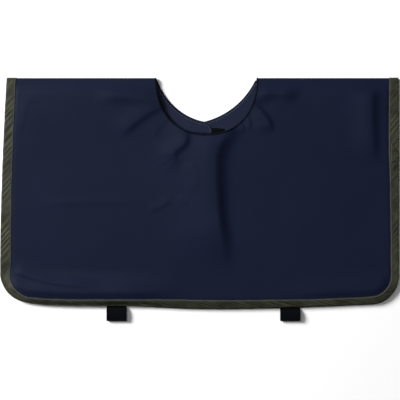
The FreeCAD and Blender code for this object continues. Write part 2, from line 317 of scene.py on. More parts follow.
def beside(line, places):
    """How far places are from a line, on which side (left is above 0), and at what share of its length."""
    near = np.full(len(places), np.inf)
    side = np.zeros(len(places))
    at = np.zeros(len(places))
    along = lengths(line)
    for a, b, start in zip(line[:-1], line[1:], along):
        step = b - a
        out = places - a
        t = np.clip((out @ step) / (step @ step), 0, 1)
        away = np.linalg.norm(out - t[:, None] * step, axis=1)
        closer = away < near
        near = np.where(closer, away, near)
        side = np.where(closer, step[0] * out[:, 1] - step[1] * out[:, 0], side)
        at = np.where(closer, start + t * np.linalg.norm(step), at)
    return near, side, at / along[-1]


def crest_heights(x, y):
    """Sum of the crests at places on the frame."""
    places = np.stack([x.ravel(), y.ravel()], axis=1)
    total = np.zeros(len(places))
    for route, left, right, height, starts_full in CRESTS:
        line = hermite(np.array(route) * MM, 16)
        reach = 3 * np.max(np.r_[left, right]) * MM
        close = np.all((places > line.min(axis=0) - reach) & (places < line.max(axis=0) + reach), axis=1)
        near, side, share = beside(line, places[close])
        fade = smoothstep(0, CREST_END, 1 - share)
        if not starts_full:
            fade = fade * smoothstep(0, CREST_START, share)
        spreads = [np.interp(share, np.linspace(0, 1, np.size(w)), np.atleast_1d(w)) for w in (left, right)]
        spread = np.where(side > 0, *spreads) * MM
        total[close] += height * MM * fade * np.exp(-((near / spread) ** 2))
    return total.reshape(x.shape)


def cloudy(x, y, scale, seed):
    """Smooth noise from -1 to 1 at each place."""
    spots = zip(x.ravel(), y.ravel())
    return np.array([noise.noise((a / scale, b / scale, seed)) for a, b in spots]).reshape(x.shape)


def wander(s, scale, seed, depth=0.0):
    """Smooth noise from -1 to 1 at each distance along an edge."""
    return np.array([noise.noise((a / scale, seed, depth)) for a in s.ravel()]).reshape(s.shape)


def tree_of(loop):
    tree = KDTree(len(loop))
    for i, (x, v) in enumerate(loop):
        tree.insert((x, v, 0), i)
    tree.balance()
    return tree


def nearest(tree, x, v):
    """Which of a tree's points is nearest to each place, and how far away it is."""
    found = [tree.find((a, b, 0))[1:] for a, b in zip(x.ravel(), v.ravel())]
    which, away = np.array(found).T
    return which.astype(int).reshape(x.shape), away.reshape(x.shape)


def distance(tree, x, v):
    return nearest(tree, x, v)[1]


SEWN_EDGE = pattern_edge(1.2 * MM, 4 * MM)
EDGE_TREE = tree_of(SEWN_EDGE)
EDGE_AT = lengths(closed_up(SEWN_EDGE))
NECK_TREE = tree_of(pattern_neck(1.5 * MM, False))
FRONT_EDGE_LENGTH = lengths(resample(half_edge(FRONT_HEM_LIFT), 1.1 * MM))[-1]
# Width of the tape on the front, in mm, at shares of the way round from the left shoulder
TAPE_WIDTHS = (
    (0.0, 17.2), (0.12, 18.2), (0.22, 20.0), (0.265, 15.4), (0.29, 11.6), (0.32, 12.2),
    (0.36, 12.8), (0.41, 12.6), (0.44, 13.0), (0.48, 14.8), (0.58, 14.0), (0.64, 12.6),
    (0.70, 12.0), (0.735, 14.4), (0.80, 15.0), (0.88, 16.6), (0.92, 18.5), (1.0, 17.6),
)


def tape_width(s):
    """Width of the tape at distances round the sewn edge, a little uneven."""
    shares, widths = np.array(TAPE_WIDTHS).T
    front = np.interp(s / FRONT_EDGE_LENGTH, shares, widths) * MM
    back = smoothstep(0, 2 * FOLD_LENGTH, np.minimum(s - FRONT_EDGE_LENGTH, EDGE_AT[-1] - s))
    return front + wander(s, 26 * MM, 0.7, 1.9) * 0.5 * MM + (BINDING_WIDTH - front) * back


HEM_SWAY = 1.6 * MM          # all the layers of the left of the front hem stand up this far
HEM_ROLL = 4.6 * MM          # and its outer layers roll over this much further
# Where the hem is padded: in mm, the x between which the pad rises, those between which it falls, its height
HEM_PADS = ((-356, -268, -130, 0, 2.8), (140, 225, 318, 352, 2.4))
SHOULDER_PAD = 2.3 * MM
SEAM_PUFF = 0.45 * MM        # how far the cover puffs up beside the binding
UNDER_TAPE = 1.6 * MM        # how far the binding presses the cover down


def rolled(x, v):
    """1 where the left of the front hem rolls under, falling to 0 elsewhere."""
    return ramp_mm(x, -352, -318) * ramp_mm(x, -30, -150) * ramp_mm(v, -120, -160)


def sway(x, v):
    """How far all the layers of the front half stand up together."""
    slow = np.maximum(0.4 + 0.4 * cloudy(x, v, 190 * MM, 3.1), 0) * MM
    where = rolled(x, v)
    away = distance(EDGE_TREE, x, v)
    rise = HEM_SWAY * ramp_mm(away, 3, 9) * (1 - 0.75 * ramp_mm(away, 14, 75))
    return (slow * (1 - where) + rise * where) * ramp_mm(FOLD_Y - v, 0, 30)


def hem_roll(x, v):
    """How far the outer layers of the left of the front hem roll over the rest."""
    away = distance(EDGE_TREE, x, v)
    return HEM_ROLL * rolled(x, v) * ramp_mm(away, 4.3, 9.6) * ramp_mm(away, 85, 20)


def inside_tape(x, v):
    """How far each place is inside the binding's inner edge on the front."""
    which, away = nearest(EDGE_TREE, x, v)
    return away - tape_width(EDGE_AT[which])


def swell(x, v):
    """How far the front cover stands off the layers under it."""
    below = FOLD_Y - v
    away = inside_tape(x, v)
    neck = distance(NECK_TREE, x, v)
    deep = distance(EDGE_TREE, x, v)
    full = (1.0 + 0.2 * cloudy(x, v, 110 * MM, 5.2)) * MM * ramp_mm(deep, 0, 120) * ramp_mm(neck, -20, 70)
    seam = SEAM_PUFF * ramp_mm(away, -1, 5)
    pads = sum(height * MM * ramp_mm(x, a, b) * ramp_mm(x, d, c) for a, b, c, d, height in HEM_PADS)
    pads = pads * ramp_mm(away, 0, 13) * ramp_mm(deep, 85, 20) * ramp_mm(v, -118, -162)
    shoulder = SHOULDER_PAD * ramp_mm(below, 4, 27) * ramp_mm(below, 150, 30)
    shoulder = shoulder * ramp_mm(deep, 0, 60) * ramp_mm(neck, -10, 45)
    crests = crest_heights(x, v) * ramp_mm(away, -2, 18) * (0.75 + 0.25 * ramp_mm(neck, 0, 22))
    loose = (full + seam + pads + crests) * ramp_mm(below, 2, 26) + shoulder
    pressed = UNDER_TAPE * ramp_mm(away, -0.5, -4) * ramp_mm(below, 0, 20)
    return loose * ramp_mm(away, -1, 3) + hem_roll(x, v) - pressed


# ---- mesh helpers
def add_mesh(name, verts, faces, uv, look):
    """A smooth mesh piece with a material; the slot named in its look is not used."""
    material, slot = look
    mesh = bpy.data.meshes.new(name)
    mesh.from_pydata([tuple(map(float, p)) for p in verts], [], [tuple(map(int, f)) for f in faces])
    mesh.update()
    work = bmesh.new()
    work.from_mesh(mesh)
    bmesh.ops.recalc_face_normals(work, faces=work.faces)
    work.to_mesh(mesh)
    work.free()
    layer = mesh.uv_layers.new(name="pattern")
    index = np.empty(len(mesh.loops), int)
    mesh.loops.foreach_get("vertex_index", index)
    layer.data.foreach_set("uv", np.asarray(uv, float)[index].ravel())
    mesh.shade_smooth()
    mesh.materials.append(material)
    obj = bpy.data.objects.new(name, mesh)
    bpy.context.scene.collection.objects.link(obj)
    return obj


def inside(points, loop):
    """Which points are inside a closed loop."""
    a, b = loop, np.roll(loop, -1, axis=0)
    rise = np.where(b[:, 1] == a[:, 1], 1, b[:, 1] - a[:, 1])
    found = []
    for some in np.array_split(points, len(points) // 4000 + 1):
        x, y = some[:, :1], some[:, 1:]
        crosses = (a[:, 1] > y) != (b[:, 1] > y)
        reach = a[:, 0] + (y - a[:, 1]) * (b[:, 0] - a[:, 0]) / rise
        found.append((np.sum(crosses & (x < reach), axis=1) % 2) == 1)
    return np.concatenate(found)


def pattern_mesh(inset, neck_inset, front_gap, back_gap, slit):
    """Triangles over the pattern between its sewn edge and its neck hole."""
    rim = pattern_edge(min(front_gap, 4 * MM), min(back_gap, 6 * MM))
    rim = rim + turned(rim, 1) * inset
    hole = pattern_neck(min(front_gap, 3 * MM), slit)
    if neck_inset:
        hole = hole + turned(hole, -1) * neck_inset
    rows = []
    v = rim[:, 1].min()
    odd = False
    while v < rim[:, 1].max():
        gap_v = gap = front_gap if v < FOLD_Y else back_gap
        if FOLD_Y - 4 * MM < v < BACK_V + 4 * MM:
            gap_v, gap = 1.3 * MM, min(front_gap * 2, back_gap)
        x = np.arange(LEFT_X + (gap / 2 if odd else 0), RIGHT_X, gap)
        rows.append(np.stack([x, np.full(len(x), v)], axis=1))
        v += gap_v * 0.87
        odd = not odd
    grid = np.vstack(rows)
    grid = grid[inside(grid, rim) & ~inside(grid, hole)]
    away = distance(tree_of(np.vstack([rim, hole])), grid[:, 0], grid[:, 1])
    grid = grid[away > 1.1 * MM]
    n, m = len(rim), len(hole)
    edges = [(i, (i + 1) % n) for i in range(n)] + [(n + i, n + (i + 1) % m) for i in range(m)]
    out = delaunay_2d_cdt([Vector(p) for p in np.vstack([rim, hole, grid])], edges, [], 2, 1e-7)
    verts = np.array([tuple(p) for p in out[0]])
    faces = np.array([f for f in out[2] if len(f) == 3])
    middle = verts[faces].mean(axis=1)
    faces = faces[~inside(middle, hole) & inside(middle, rim)]
    a, b, c = (verts[faces[:, k]] for k in range(3))
    area = (b[:, 0] - a[:, 0]) * (c[:, 1] - a[:, 1]) - (b[:, 1] - a[:, 1]) * (c[:, 0] - a[:, 0])
    faces[area < 0] = faces[area < 0][:, ::-1]
    used = np.unique(faces)
    renumber = np.zeros(len(verts), int)
    renumber[used] = np.arange(len(used))
    return verts[used], renumber[faces], float(np.abs(area).sum() / 2)


def thin_sheet(name, top, bottom, faces, uv, look):
    """Closed thin sheet between two surfaces that share their faces."""
    n = len(top)
    edges = np.vstack([faces[:, [i, (i + 1) % faces.shape[1]]] for i in range(faces.shape[1])])
    known = set(map(tuple, edges))
    walls = [(b, a, a + n, b + n) for a, b in edges if (b, a) not in known]
    every = [tuple(f) for f in faces] + [tuple(f[::-1] + n) for f in faces] + walls
    return add_mesh(name, np.vstack([top, bottom]), every, np.vstack([uv, uv + 1.0]), look)


def grid_faces(rows, columns):
    return np.array([
        (r * columns + c, r * columns + c + 1, (r + 1) * columns + c + 1, (r + 1) * columns + c)
        for r in range(rows - 1)
        for c in range(columns - 1)
    ])


def tube_faces(rings, around, closed):
    """Faces between rings of points, round again to the first ring if closed, else capped at both ends."""
    faces = []
    for i in range(rings if closed else rings - 1):
        here, there = i * around, (i + 1) % rings * around
        for k in range(around):
            after = (k + 1) % around
            faces.append((here + k, there + k, there + after, here + after))
    if not closed:
        faces += [tuple(range(around)), tuple(range((rings - 1) * around, rings * around))]
    return faces


def swept(name, rings, around, along, look, closed):
    """Solid through rings of points, all with as many points."""
    n, m = rings.shape[:2]
    uv = np.stack([np.repeat(along, m), np.tile(around, n)], axis=1)
    return add_mesh(name, rings.reshape(-1, 3), tube_faces(n, m, closed), uv, look)


# Rings of one stitch from end to end: share of its half-length, share of its radius, lift in radii
BEAD = (
    (-1.0, 0.3, -0.7), (-0.75, 0.85, 0.0), (-0.3, 1.0, 0.4),
    (0.3, 1.0, 0.4), (0.75, 0.85, 0.0), (1.0, 0.3, -0.7),
)
BEAD_SIDES = 6
BEAD_FACES = tube_faces(len(BEAD), BEAD_SIDES, False)


def stitch_row(name, centres, ways, ups, length, radius, look):
    """Separate stitches of thread: each a bead along its way that dips into the cloth at both ends."""
    turn = np.linspace(0, 2 * math.pi, BEAD_SIDES, endpoint=False)
    verts, faces, uv = [], [], []
    for centre, way, across, up in zip(centres, ways, np.cross(ways, ups), ups):
        faces += [[len(verts) + i for i in face] for face in BEAD_FACES]
        for along, size, lift in BEAD:
            middle = centre + way * along * length / 2 + up * lift * radius
            verts += [middle + (across * math.cos(t) + up * math.sin(t)) * radius * size for t in turn]
            uv += [(along * length / 2, t * radius) for t in turn]
    return add_mesh(name, verts, faces, uv, look)


def stitches_along(name, line, ups, gap, length, radius, look):
    """Row of stitches along a line of places on the frame, each lying square to its up."""
    at = lengths(line)
    t = np.arange(gap / 2, at[-1], gap)
    centres = points_at(t, at, line)
    ways = points_at(t + 0.2 * MM, at, line) - centres
    ways /= np.linalg.norm(ways, axis=1)[:, None] + 1e-12
    ups = points_at(t, at, np.broadcast_to(ups, line.shape))
    return stitch_row(name, centres, ways, ups, length, radius, look)


# ---- materials
class Nodes:
    """Short names for the few shader nodes that the materials use."""

    def __init__(self, name, base, roughness, specular=0.5, sheen=0.0):
        self.material = bpy.data.materials.new(name)
        self.material.use_nodes = True
        self.tree = self.material.node_tree
        self.shader = self.tree.nodes["Principled BSDF"]
        self.shader.inputs["Base Color"].default_value = (*base, 1)
        self.shader.inputs["Roughness"].default_value = roughness
        self.shader.inputs["Specular IOR Level"].default_value = specular
        self.shader.inputs["Sheen Weight"].default_value = sheen
        self.uv = self.add("ShaderNodeUVMap").outputs["UV"]
        self.uv.node.uv_map = "pattern"

    def feed(self, socket, value):
        """Sets an input to a value, or links another node's output to it."""
        if isinstance(value, bpy.types.NodeSocket):
            self.tree.links.new(value, socket)
        else:
            socket.default_value = value

    def add(self, kind, **sockets):
        node = self.tree.nodes.new(kind)
        for name, value in sockets.items():
            self.feed(node.inputs[name], value)
        return node

    def scaled(self, x=1.0, y=1.0, turn=0.0):
        """The pattern's coordinates turned first and then stretched."""
        turning = self.add("ShaderNodeMapping", Vector=self.uv, Rotation=(0, 0, turn))
        stretch = self.add("ShaderNodeMapping", Vector=turning.outputs["Vector"], Scale=(x, y, 1))
        return stretch.outputs["Vector"]

    def object_place(self):
        return self.add("ShaderNodeTexCoord").outputs["Object"]

    def cloud(self, vector, scale, detail=3.0, rough=0.5):
        node = self.add("ShaderNodeTexNoise", Vector=vector, Scale=scale, Detail=detail, Roughness=rough)
        return node.outputs["Fac"]

    def ribs(self, vector, scale, direction="X", distortion=0.0):
        node = self.add("ShaderNodeTexWave", Vector=vector, Scale=scale, Distortion=distortion)
        node.bands_direction = direction
        return node.outputs["Fac"]

    def ramp(self, value, low, high, start=0.3, end=0.7):
        """Colours that run from low to high as a value goes from start to end."""
        node = self.add("ShaderNodeValToRGB", Fac=value)
        for stop, position, colour in zip(node.color_ramp.elements, (start, end), (low, high)):
            stop.position = position
            stop.color = (*colour, 1)
        return node.outputs["Color"]

    def span(self, value, low, high):
        node = self.add("ShaderNodeMapRange", Value=value)
        node.inputs["To Min"].default_value = low
        node.inputs["To Max"].default_value = high
        return node.outputs["Result"]

    def math(self, kind, a, b):
        node = self.add("ShaderNodeMath")
        node.operation = kind
        for socket, value in zip(node.inputs, (a, b)):
            self.feed(socket, value)
        return node.outputs[0]

    def mixed(self, a, part_a, b, part_b):
        return self.math("ADD", self.math("MULTIPLY", a, part_a), self.math("MULTIPLY", b, part_b))

    def bump(self, height, distance, strength=1.0, below=None):
        node = self.add("ShaderNodeBump", Height=height, Distance=distance, Strength=strength)
        if below is not None:
            self.feed(node.inputs["Normal"], below)
        return node.outputs["Normal"]

    def finish(self, colour, roughness=None, normal=None):
        for value, name in ((colour, "Base Color"), (roughness, "Roughness"), (normal, "Normal")):
            if value is not None:
                self.feed(self.shader.inputs[name], value)
        return self.material


def rib_scale(pitch):
    """Scale of a wave texture whose ribs lie about two pitches apart."""
    return 1 / pitch / 6.28


def coated_cloth(name, dark, light, roughness):
    """Smooth polyurethane-coated nylon: a fine grain, faint weave under it and slow changes of tone."""
    n = Nodes(name, light, roughness, specular=0.05)
    tone = n.cloud(n.scaled(), 9.0, 4.0, 0.55)
    grain = n.cloud(n.scaled(), 1100.0, 2.0, 0.6)
    weave = n.math("MULTIPLY", n.ribs(n.scaled(), 420.0, "X"), n.ribs(n.scaled(), 420.0, "Y"))
    wear = n.cloud(n.scaled(), 45.0, 5.0, 0.6)
    normal = n.bump(wear, 0.0006, 0.35, n.bump(n.mixed(grain, 0.7, weave, 0.3), 0.00008, 0.6))
    return n.finish(n.ramp(tone, dark, light), n.span(wear, roughness - 0.06, roughness + 0.08), normal)


def woven(name, dark, light, pitch):
    """Plain weave of visible threads."""
    n = Nodes(name, light, 0.8, specular=0.3, sheen=0.2)
    across = n.ribs(n.scaled(), rib_scale(pitch), "X", 0.3)
    along = n.ribs(n.scaled(), rib_scale(pitch), "Y", 0.3)
    threads = n.math("MULTIPLY", across, along)
    tone = n.cloud(n.scaled(), 30.0, 4.0)
    mixed = n.mixed(threads, 0.6, tone, 0.5)
    return n.finish(n.ramp(mixed, dark, light, 0.15, 0.85), None, n.bump(threads, pitch * 0.4, 0.6))


def bias_tape(name, dark, light):
    """Satin-faced tape cut on the bias: threads and streaks run slantwise across it, their light and dark in
    the colour partly the tape's own tone and partly painted shade and highlight of its slanting creases.
    """
    n = Nodes(name, light, 0.55, specular=0.2, sheen=0.04)
    slant = math.radians(-50)
    threads = n.ribs(n.scaled(turn=slant), 190.0, "X", 0.6)
    streak = n.cloud(n.scaled(130.0, 24.0, slant), 1.0, 4.0, 0.6)
    patch = n.cloud(n.scaled(), 48.0, 3.0)
    mixed = n.mixed(streak, 0.5, patch, 0.5)
    normal = n.bump(streak, 0.0012, 0.5, n.bump(threads, 0.00015, 0.5))
    # colour from random patches of tone and the slanting streaks, whose strong light and dark is partly
    # painted crease shade and highlight
    return n.finish(n.ramp(mixed, dark, light, 0.36, 0.62), n.span(streak, 0.45, 0.68), normal)


def thread(name, dark, light):
    """Twisted sewing thread."""
    n = Nodes(name, light, 0.6, specular=0.2, sheen=0.05)
    twist = n.ribs(n.scaled(turn=math.radians(40)), 500.0, "X")
    return n.finish(n.ramp(twist, dark, light, 0.2, 0.8), None, n.bump(twist, 0.0001, 0.7))


def webbing(name, dark, light):
    """Nylon webbing: ribs along its length with a finer weave across them."""
    n = Nodes(name, light, 0.85, specular=0.03)
    ribs = n.ribs(n.scaled(), rib_scale(2.2 * MM), "X", 0.2)
    weave = n.ribs(n.scaled(), rib_scale(1.1 * MM), "Y", 0.4)
    both = n.mixed(ribs, 0.65, weave, 0.35)
    return n.finish(n.ramp(both, dark, light, 0.1, 0.9), None, n.bump(both, 0.0004, 0.8))


def hook_tape(name, dark, light):
    """Black fuzz of hook-and-loop tape."""
    n = Nodes(name, light, 0.85, specular=0.05)
    fuzz = n.cloud(n.object_place(), 1400.0, 3.0, 0.7)
    return n.finish(n.ramp(fuzz, dark, light, 0.35, 0.7), None, n.bump(fuzz, 0.0005, 0.9))


def vinyl(name, dark, light):
    """Lead-loaded vinyl: matt grey with a faint calendered grain."""
    n = Nodes(name, light, 0.65, specular=0.4)
    grain = n.cloud(n.object_place(), 700.0, 3.0, 0.6)
    tone = n.cloud(n.object_place(), 14.0, 3.0)
    return n.finish(n.ramp(tone, dark, light), None, n.bump(grain, 0.0001, 0.5))


def look(make, name, dark, light, *more, slot=None):
    """A material between two colours, and the name of its slot."""
    return make(name, dark, light, *more), slot or name


COVER = look(coated_cloth, "navy_coated_cover", (0.0065, 0.0092, 0.0246), (0.0074, 0.0104, 0.0270), 0.46)
LINING = look(woven, "navy_lining", (0.006, 0.0085, 0.022), (0.010, 0.0135, 0.031), 0.6 * MM)
# Neckband navy, lighter than the cover's: painted light for the bands' tilt towards the key light; the front
# neck facing shares it.
BAND_WITH_PAINTED_LIGHT = look(coated_cloth, "navy_neckband", (0.0098, 0.0130, 0.0300), (0.0135, 0.0172, 0.0360), 0.5)
# Near-black navy of the neck edging: painted shade, standing in for the shadow in the gap between the front
# neckline and the bands.
EDGING_WITH_PAINTED_SHADE = look(
    coated_cloth, "navy_neck_edging", (0.0018, 0.0026, 0.0080), (0.0026, 0.0036, 0.0100), 0.7,
    slot="navy_neckband",
)
TAPE = look(bias_tape, "olive_bias_tape", (0.0085, 0.0088, 0.0046), (0.0365, 0.0385, 0.0210))
TAPE_THREAD = look(thread, "olive_thread", (0.070, 0.077, 0.090), (0.115, 0.125, 0.145))
NAVY_THREAD = look(thread, "navy_thread", (0.060, 0.068, 0.100), (0.10, 0.11, 0.155))
DARK_THREAD = look(thread, "dark_thread", (0.012, 0.012, 0.009), (0.022, 0.022, 0.017), slot="olive_thread")
WEBBING = look(webbing, "black_webbing", (0.0010, 0.0012, 0.0018), (0.0038, 0.0042, 0.0056))
HOOK_AND_LOOP = look(hook_tape, "black_hook_and_loop", (0.0008, 0.0010, 0.0016), (0.0034, 0.0038, 0.0052))
LEAD_VINYL = look(vinyl, "lead_vinyl", (0.055, 0.058, 0.062), (0.075, 0.078, 0.082))


# ---- the laminate's sheets
def over_shoulders(piece, height, *nodes):
    """Bakes a piece's placing into its mesh and hides the CAD solids that it stands in for, if any are given.
    """
    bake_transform(piece)
    if nodes:
        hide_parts(*nodes)


def layer_nodes(layer, fold=None):
    """Names of a layer's CAD solids: front, back and, if it has them, over each shoulder."""
    folds = [side + "_shoulder_" + fold + "_fold" for side in SIDES if fold]
    return ["front_" + layer, "back_" + layer, *folds]


def laminate_sheet(name, grid, low_high, relief, look, turn, nodes):
    """A sheet over a grid of the pattern, lifted by its relief and turning at the shoulders."""
    flat, faces, area = grid
    x, v = flat.T
    low, high = low_high
    piece = thin_sheet(name, place(x, v, high + relief), place(x, v, low + relief), faces, flat, look)
    over_shoulders(piece, turn, *nodes)


SEWN_IN = 0.9 * MM           # how far inside the sewn edge the cover and the lining end
CORE_NECK_INSET = 11 * MM    # how far outside the neck hole the lead vinyl ends


def make_laminate():
    fine = pattern_mesh(SEWN_IN, 0.0, 2.6 * MM, 7 * MM, True)
    relief = sway(*fine[0].T) + swell(*fine[0].T)
    turn = COVER_H[0] - UNDER_TAPE - 0.2 * MM
    laminate_sheet("apron_cover", fine, COVER_H, relief, COVER, turn, layer_nodes("outer_cover", "cover"))
    coarse = pattern_mesh(SEWN_IN, 0.0, 5 * MM, 6 * MM, True)
    relief = sway(*coarse[0].T)
    laminate_sheet("apron_lining", coarse, LINING_H, relief, LINING, LINING_H[0] * 0.9,
                   layer_nodes("lining", "lining"))
    core = pattern_mesh(CORE_INSET, CORE_NECK_INSET, 8 * MM, 12 * MM, False)
    relief = sway(*core[0].T)
    for ply, low_high, fold in (("outer", OUTER_VINYL_H, "lead_vinyl"), ("inner", INNER_VINYL_H, None)):
        nodes = layer_nodes("lead_vinyl_" + ply, fold)
        laminate_sheet("lead_vinyl_" + ply, core, low_high, relief, LEAD_VINYL, low_high[0] * 0.9, nodes)


# ---- tape bound round an edge of the pattern
class BoundEdge:
    """A closed edge of the pattern with unit vectors that point into the cloth."""

    def __init__(self, loop, side):
        self.loop = loop
        self.line = closed_up(loop)
        self.into = closed_up(turned(loop, side))
        self.at = lengths(self.line)

    def spot(self, s, deep):
        """x and v of the places that are s along the edge and deep inside it."""
        s = np.mod(s, self.at[-1])
        x, v, into_x, into_v = (np.interp(s, self.at, column) for column in (*self.line.T, *self.into.T))
        return x + into_x * deep, v + into_v * deep


EDGE = BoundEdge(pattern_edge(1.1 * MM, 2.2 * MM), 1)
NECK = BoundEdge(pattern_neck(1.2 * MM, False), -1)


def puckers(s, deep):
    """Slanting creases of the bias tape between its seam and its folded edge, strongest on the hem."""
    share = s / FRONT_EDGE_LENGTH
    on_hem = smoothstep(0.25, 0.31, share) * smoothstep(0.77, 0.71, share)
    phase = s + deep * (1.25 + 2.3 * on_hem)
    pitch = (12.5 + 1.9 * on_hem) * MM
    turns = phase / pitch + 1.9 * wander(phase, 50 * MM, 1.7)
    ridge = 1 - 2 * np.abs(np.sin(math.pi * turns)) ** (1.4 - 0.6 * on_hem)
    small = np.sin(2 * math.pi * (phase / (3.1 * MM) + 0.9 * wander(phase, 11 * MM, 6.3)))
    strong = 0.12 + 0.75 * np.maximum(wander(s, 60 * MM, 2.2) + 0.2, 0) + 1.3 * on_hem
    fades = ramp_mm(tape_width(s) - deep - 1.5 * MM, 0, 4)
    return (ridge * strong * 0.6 + small * 0.12) * MM * fades


def tape_section():
    """Round the tape from its inner leg's sewn edge to its outer leg's.

    Each point is a share of the width, mm further in, height in mm, and 0 on the inner leg, 1 on the outer.
    """
    top, under = BINDING_H[1] / MM, COVER_H[1] / MM
    low, over = BINDING_H[0] / MM, LINING_H[0] / MM
    middle = (top + low) / 2
    inner = [(1, -0.2, over, 0), (1, 0, low + 0.35, 0), (1, -0.5, low + 0.05, 0), (1, -1.6, low, 0)]
    inner += [(t, 0, low, 0) for t in (0.7, 0.45, 0.25)]
    folded = [(0, 1.2, low + 0.2, 0), (0, 0.4, low + 0.9, 0), (0, 0.0, middle, 0.5), (0, 0.35, top - 1.0, 1)]
    folded += [(0, 1.0, top - 0.35, 1), (0, 1.9, top - 0.05, 1)]
    outer = [(t, 1.9 * (1 - t) - 2.5 * t, top, 1) for t in np.linspace(0.06, 0.96, 17)]
    outer += [(1, -2.2, top - 0.1, 1), (1, -1.7, top - 0.4, 1), (1, -1.1, top - 0.15, 1)]
    outer += [(1, -0.6, top + 0.08, 1), (1, -0.2, top - 0.05, 1), (1, 0, top - 0.45, 1), (1, -0.2, under, 1)]
    pocket = [(0, 1.6, under, 1), (0, 1.6, over, 0)]
    return np.array(inner + folded + outer + pocket).T


def make_binding():
    share, extra, high, leg = tape_section()
    stations = EDGE.at[:-1]
    s = stations[:, None] + 0 * share
    deep = share * np.where(leg > 0.5, tape_width(s), BINDING_WIDTH) + extra * MM
    edge_drift = wander(stations, 13 * MM, 9.1)[:, None] * 0.4 * MM * ramp_mm(deep, 4, 0)
    x, v = EDGE.spot(s, deep + edge_drift)
    from_turn = v - FOLD_Y - FOLD_LENGTH / 2
    creases = puckers(s, deep)
    creases = np.where(from_turn > 0, -np.abs(creases), creases - 0.05 * MM)
    outside = (leg > 0.5) & (high * MM > COVER_H[1] + 0.3 * MM)
    creases = creases * ramp_mm(np.abs(from_turn), 4, 14) * outside
    rolls = hem_roll(x, v) * (leg > 0.6)
    rings = place(x, v, high * MM + sway(x, v) + rolls + creases)
    around = lengths(np.stack([share * BINDING_WIDTH + extra * MM, high * MM], axis=1))
    binding = swept("edge_binding", rings, around, stations, TAPE, True)
    over_shoulders(binding, 0.14 * MM, *layer_nodes("edge_binding", "binding"))


def make_binding_stitches():
    """A row near the tape's sewn edge on the outside, and a finer one on its inner leg."""
    s = EDGE.at[:-1]
    gap, length = 3.3 * MM, 3.0 * MM
    for side, deep, height, radius, up, node in (
        ("outer", tape_width(s) - 1.6 * MM, BINDING_H[1] - 0.05 * MM, 0.5 * MM, 1, "front_binding_stitching"),
        ("inner", BINDING_WIDTH - 1.9 * MM, BINDING_H[0] + 0.18 * MM, 0.2 * MM, -1, "back_binding_stitching"),
    ):
        x, v = EDGE.spot(s, deep)
        height = height + sway(x, v)
        if side == "outer":
            height += hem_roll(x, v) - 0.9 * MM * smoothstep(FOLD_Y, BACK_V, v)
        line = place(x, v, height)
        ups = (place(x, v, height + MM) - line) / MM * up
        row = stitches_along("binding_stitches_" + side, line, ups, gap, length, radius, TAPE_THREAD)
        over_shoulders(row, 0.03 * MM, node)


JOIN_Y = (65 * MM, 86 * MM)  # where the overlap of the tape's ends begins and ends on the right side
JOIN_SLANT = 12 * MM


def make_tape_join():
    """Where the tape's two ends meet on the right side: one end lies over the other, cut on the slant."""
    on_right = (EDGE.loop[:, 0] > RIGHT_X - 1 * MM) & (EDGE.loop[:, 1] < FOLD_Y)
    low, high = np.interp(JOIN_Y, EDGE.loop[on_right][:, 1], EDGE.at[:-1][on_right])
    width = tape_width(np.array([low]))[0] - 3.3 * MM
    shares = np.linspace(0, 1, 9)
    deep = np.r_[0.15 * MM, -0.25 * MM, 0.1 * MM, 0.9 * MM, 1.9 * MM + shares * (width - 1.9 * MM)]
    lift = np.r_[-3.2, -2.2, -0.8, 0.1, np.full(len(shares), 0.5)] * MM
    deep = np.r_[deep, deep[::-1] + 0.3 * MM * (deep[::-1] < 1 * MM)]
    lift = np.r_[lift, lift[::-1] - 0.45 * MM]
    ends = high + JOIN_SLANT * smoothstep(0, width, deep)
    s = low + (ends - low) * np.linspace(0, 1, 14)[:, None]
    x, v = EDGE.spot(s, deep)
    height = BINDING_H[1] + lift + puckers(s, np.maximum(deep, 0) + 0 * s) + sway(x, v)
    along = lengths(np.stack([x[:, 0], v[:, 0]], axis=1))
    around = lengths(np.stack([deep, lift], axis=1))
    patch = swept("binding_join", place(x, v, height), around, along, TAPE, False)
    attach(patch, FRONT)
    # the row of stitches across its end
    deeps = np.linspace(0.6 * MM, width, 12)
    x, v = EDGE.spot(low + 1.6 * MM + 0 * deeps, deeps)
    line = place(x, v, BINDING_H[1] + 0.62 * MM + sway(x, v))
    gap, length, radius = 2.2 * MM, 1.7 * MM, 0.35 * MM
    row = stitches_along("binding_join_stitches", line, UP, gap, length, radius, DARK_THREAD)
    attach(row, FRONT)
    # and a loose end of thread, curled below it
    t = np.linspace(0, 2 * math.pi, 40)
    x, v = EDGE.spot(low - 6 * MM + 2.4 * MM * np.sin(t), 5.5 * MM + 3.6 * MM * np.cos(t))
    line = place(x, v, BINDING_H[1] + 0.55 * MM + sway(x, v))
    turn = np.linspace(0, 2 * math.pi, 7)[:-1]
    section = 0.32 * MM * np.stack([np.cos(turn) * 0.9, np.sin(turn) * 0.4, np.sin(turn)], axis=1)
    rings = (line[:, None, :] + section)[:-3]
    tail = swept("binding_join_thread", rings, turn * 0.3 * MM, lengths(line)[:-3], DARK_THREAD, False)
    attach(tail, FRONT)


